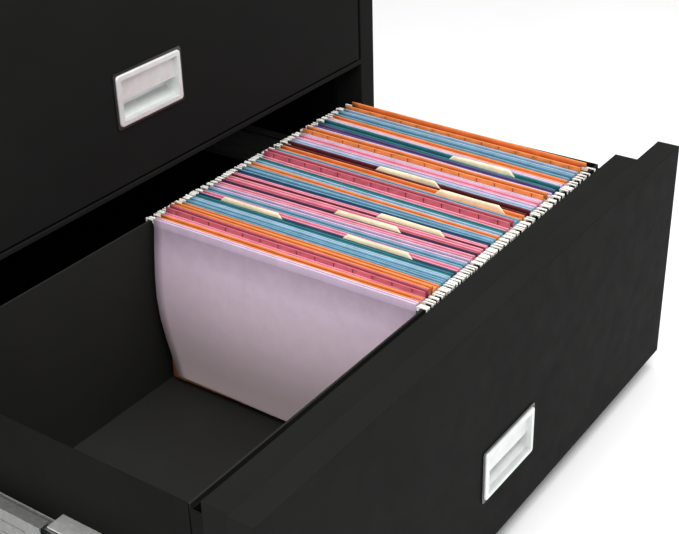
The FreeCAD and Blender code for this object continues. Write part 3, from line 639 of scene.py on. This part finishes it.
def make_folders():
    rng = random.Random(11)
    places = folder_places()
    groups = {}
    for index, ((colour, _, slotted), place) in enumerate(zip(FOLDERS, places)):
        points, faces = groups.setdefault(colour, ([], []))
        last = index == len(FOLDERS) - 1
        add_folder(points, faces, place, slotted, index == 0, last, rng)
    for colour, (points, faces) in groups.items():
        broad = colour == "lavender"
        # the lavender card's paler lower part is painted light
        stock = card(colour + "_card", COLOURS[colour], mottle=0.03 if broad else 0.12,
                     ripple=0.15 * MM if broad else 1.2 * MM,
                     painted_light_low_colour=LAVENDER_PAINTED_LIGHT_LOW if broad else None)
        piece = mesh_piece(colour + "_folders", "hanging_files",
                           stock, points, faces, smooth_angle=35)
        thicken(piece, CARD)
        apply_modifiers(piece)
        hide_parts("hanging_folders")
    return places


# The hook at each end of a rod, seen from the side: (Y outwards from the paper's end, Z from the
# rod's top). Its notch sits just above the drawer wall's rim, which is 5 mm below the rod's top.
HOOK_THICK = 1.35 * MM
HOOK_NOTCH = -4.95 * MM
HOOK_LIP = -8.8 * MM
HOOK_TONGUE = 6.0 * MM


def hook_outline(reach):
    """Closed outline of one hook: a tongue inside the hem, a thin bar over the rim, a notch for
    the rim and an outer lip."""
    shoulder = arc((0.12 * reach, -4.3 * MM), 1.1 * MM, 180, 90, 3)
    nose = arc((reach - 1.0 * MM, -4.2 * MM), 1.0 * MM, 90, -35, 3)
    return ([(-HOOK_TONGUE, -4.3 * MM)] + shoulder + nose
            + [(reach - 0.3 * MM, -8.6 * MM), (reach - 1.7 * MM, HOOK_LIP),
               (reach - 2.2 * MM, HOOK_NOTCH), (0.30 * reach, HOOK_NOTCH),
               (0.20 * reach, -9.0 * MM), (-1.0 * MM, -9.4 * MM), (-HOOK_TONGUE, -9.0 * MM)])


def make_hooks(places):
    rng = random.Random(5)
    points = []
    faces = []
    reach_front = paper_front - rods_low.y
    reach_rear = rods_high.y - paper_rear
    for x, width, lean in places:
        front = FRONT_LEAF * width + HEM_RADIUS
        for leaf in (front, front + LEAF_GAP * width):
            for end, reach, sign, shift in ((paper_front, reach_front, -1, -lean),
                                            (paper_rear, reach_rear, 1, 0.0)):
                middle = x + leaf + shift + rng.uniform(-0.9, 0.9) * MM
                lift = rng.uniform(0.0, 0.9) * MM
                outline = hook_outline(reach * rng.uniform(0.84, 1.0))
                if sign < 0:
                    outline = outline[::-1]

                def at(a, b, along, end=end, sign=sign, lift=lift):
                    return (along, end + sign * a, rod_top + b + lift)

                prism(points, faces, outline, middle - HOOK_THICK / 2, middle + HOOK_THICK / 2, at)
    piece = mesh_piece("folder_hooks", "hanging_files", finishes["folder_rod"],
                       points, faces, smooth_angle=40)
    bevel = piece.modifiers.new("rounded", "BEVEL")
    bevel.width = 0.2 * MM
    bevel.segments = 1
    bevel.limit_method = "ANGLE"
    apply_modifiers(piece)
    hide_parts("folder_rods")


# Manila tabs: which folder holds it, and where its middle stands behind the paper's front end.
TABS = [(11, 0.775), (11, 0.28), (16, 0.40), (19, 0.27), (31, 0.20), (32, 0.47), (40, 0.30)]
TAB_LENGTH = 95 * MM
TAB_RISE = 5.4 * MM
TAB_SLANT = 5 * MM
TAB_BASE = 16 * MM
TAB_CORNER = 6 * MM


def make_tabs(places):
    """Manila folders inside the hanging folders: each has one raised tab with rounded corners."""
    rng = random.Random(3)
    points = []
    faces = []
    for index, share in TABS:
        x, width, lean = places[index]
        middle = paper_front + share * paper_depth
        half = TAB_LENGTH / 2
        low = half + TAB_SLANT
        offset = x + 0.42 * width + lean * (share - 1.0)
        tilt = rng.uniform(0.06, 0.14)
        parts = 10
        levels = 5
        start = len(points)
        for i in range(parts + 1):
            y = -low + 2 * low * i / parts
            top = tab_height_at(y, half, low)
            for k in range(levels + 1):
                z = -TAB_BASE + (top + TAB_BASE) * k / levels
                curl = 0.6 * MM * math.sin(3.0 * y / low + index) * max(0.0, z / TAB_RISE)
                points.append((offset + tilt * (z + TAB_BASE) + curl, middle + y, rod_top + z))
        for i in range(parts):
            for k in range(levels):
                a = start + i * (levels + 1) + k
                faces.append([a, a + 1, a + levels + 2, a + levels + 1])
    piece = mesh_piece("manila_tabs", "hanging_files", finishes["manila"],
                       points, faces, smooth_angle=40)
    thicken(piece, TAB_CARD)
    apply_modifiers(piece)
    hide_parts("folder_tabs")


def tab_height_at(y, half, low):
    """Top edge of a tab: flat, with rounded shoulders that run down to the folder's own edge."""
    beyond = max(0.0, abs(y) - (half - TAB_CORNER)) / (low - half + TAB_CORNER)
    return TAB_RISE - (TAB_RISE + 0.3 * TAB_BASE) * beyond ** 2


def make_papers(places):
    """Sheets filed in the folders, a little lower than the card."""
    rng = random.Random(8)
    points = []
    faces = []
    for x, width, lean in places[1:]:
        thick = 0.28 * width
        top = -rng.uniform(19, 26) * MM
        bottom = leaf_bottom - rod_top + 5 * MM
        start = len(points)
        for share in (0.03, 0.5, 0.97):
            y = paper_front + share * paper_depth
            shift = x + 0.34 * width + HEM_RADIUS + lean * (share - 1.0)
            fan = rng.uniform(0.0, 0.6) * MM
            for px, pz in ((0, bottom), (thick, bottom), (thick, top - fan), (0, top)):
                points.append((shift + px, y, rod_top + pz))
        for ring in (0, 1):
            for i in range(4):
                j = (i + 1) % 4
                a = start + 4 * ring
                faces.append([a + i, a + j, a + 4 + j, a + 4 + i])
        faces.append([start, start + 1, start + 2, start + 3])
        faces.append([start + 11, start + 10, start + 9, start + 8])
    mesh_piece("filed_papers", "hanging_files", office_paper("office_paper"),
               points, faces)


# ------------------------------------------------------------------ slide details

RIVET_RADIUS = 3.0 * MM
RIVET_RISE = 1.2 * MM
BEAD_RADIUS = 1.1 * MM
BEAD_SPREAD = 8.0 * MM
BEAD_FLATTEN = 0.7
BEAD_MARGIN = 24 * MM
RIVET_PLACES = (9 * MM, 70 * MM, 235 * MM, 400 * MM, 461 * MM)


def dome(points, faces, centre, outward, radius=RIVET_RADIUS, rise=RIVET_RISE):
    """A low rounded head on a flat sheet. outward is the sheet's normal, along X or Y."""
    rings = 4
    around = 16
    start = len(points)
    centre = Vector(centre)
    outward = Vector(outward)
    up = Vector((0.0, 0.0, 1.0))
    aside = up.cross(outward)
    for ring in range(rings):
        angle = math.radians(90 * ring / rings)
        for i in range(around):
            turn = math.tau * i / around
            edge = aside * math.cos(turn) + up * math.sin(turn)
            points.append(centre + outward * rise * math.sin(angle)
                          + edge * radius * math.cos(angle))
    points.append(centre + outward * rise)
    for ring in range(rings - 1):
        for i in range(around):
            j = (i + 1) % around
            a = start + ring * around
            faces.append([a + i, a + j, a + around + j, a + around + i])
    last = start + (rings - 1) * around
    for i in range(around):
        faces.append([last + i, last + (i + 1) % around, start + rings * around])
    faces.append([start + i for i in reversed(range(around))])


def make_slide_details(name):
    """Rivet heads and two pressed beads along the outer web of each middle member."""
    points = []
    faces = []
    for hand, outward in (("left", -1), ("right", 1)):
        low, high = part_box("%s_%s_middle_member" % (name, hand))
        web = low.x if outward < 0 else high.x
        middle = (low.z + high.z) / 2
        for place in RIVET_PLACES:
            dome(points, faces, (web, low.y + place, middle), (outward, 0, 0))
        for offset in (-BEAD_SPREAD, BEAD_SPREAD):
            section = arc((0.0, middle + offset), BEAD_RADIUS, -90, 90, 6)

            def at(a, b, along, web=web, outward=outward):
                return (web + outward * BEAD_FLATTEN * a, along, b)

            prism(points, faces, section, low.y + BEAD_MARGIN, high.y - BEAD_MARGIN, at)
    mesh_piece(name + "_slide_rivets", name + "_middle_members",
               finishes["zinc"], points, faces, smooth_angle=40)


BACK_INSET = 14 * MM
BACK_COLUMNS = 6
BACK_ROWS = 4
BACK_RIVET = (4.2 * MM, 1.4 * MM)


def make_back_fixings():
    """Painted rivet heads around the edge of the back panel."""
    low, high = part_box("back_panel")
    points = []
    faces = []
    across = high.x - low.x - 2 * BACK_INSET
    upward = high.z - low.z - 2 * BACK_INSET
    for i in range(BACK_COLUMNS + 1):
        x = low.x + BACK_INSET + across * i / BACK_COLUMNS
        for z in (low.z + BACK_INSET, high.z - BACK_INSET):
            dome(points, faces, (x, high.y, z), (0, 1, 0), *BACK_RIVET)
    for i in range(1, BACK_ROWS):
        z = low.z + BACK_INSET + upward * i / BACK_ROWS
        for x in (low.x + BACK_INSET, high.x - BACK_INSET):
            dome(points, faces, (x, high.y, z), (0, 1, 0), *BACK_RIVET)
    mesh_piece("back_panel_rivets", "cabinet", finishes["cabinet_paint"],
               points, faces, smooth_angle=40)


# ------------------------------------------------------------------ stage

FLOOR_HALF = 40
FLOOR_DROP = 0.5 * MM
SKY_STRENGTH = 0.68

# Each soft box: name, place, what it faces, width, height, power in watts.
SOFT_BOXES = [
    ("key_light", (-1.9, -2.4, 2.7), (0.0, -0.4, 0.3), 1.8, 1.6, 12),
    ("left_fill", (-2.8, -0.5, 1.3), (0.0, -0.5, 0.2), 1.8, 1.4, 27),
    ("top_light", (0.1, -1.0, 2.4), (0.1, -0.6, 0.0), 2.4, 1.8, 60),
]


def make_stage():
    half = FLOOR_HALF
    points = [(-half, -half, 0), (half, -half, 0), (half, half, 0), (-half, half, 0)]
    mesh = bpy.data.meshes.new("floor")
    mesh.from_pydata(points, [], [[0, 1, 2, 3]])
    mesh.materials.append(studio_floor("studio_floor"))
    floor = bpy.data.objects.new("floor", mesh)
    floor.location.z = -FLOOR_DROP
    scene.collection.objects.link(floor)


def soft_box(name, place, target, width, height, power):
    data = bpy.data.lights.new(name, "AREA")
    data.shape = "RECTANGLE"
    data.size = width
    data.size_y = height
    data.energy = power
    lamp = bpy.data.objects.new(name, data)
    lamp.location = place
    lamp.rotation_mode = "QUATERNION"
    lamp.rotation_quaternion = (Vector(target) - Vector(place)).to_track_quat("-Z", "Y")
    scene.collection.objects.link(lamp)


def make_lights():
    world = bpy.data.worlds.new("studio")
    world.use_nodes = True
    sky = world.node_tree.nodes["Background"]
    sky.inputs["Color"].default_value = (1.0, 1.0, 1.0, 1.0)
    sky.inputs["Strength"].default_value = SKY_STRENGTH
    scene.world = world
    for box in SOFT_BOXES:
        soft_box(*box)


make_camera()
paint_cad_nodes()
folder_row = folder_places()
make_folders()
make_hooks(folder_row)
make_tabs(folder_row)
make_papers(folder_row)
make_slide_details("lower")
make_slide_details("upper")
make_back_fixings()
make_stage()
make_lights()
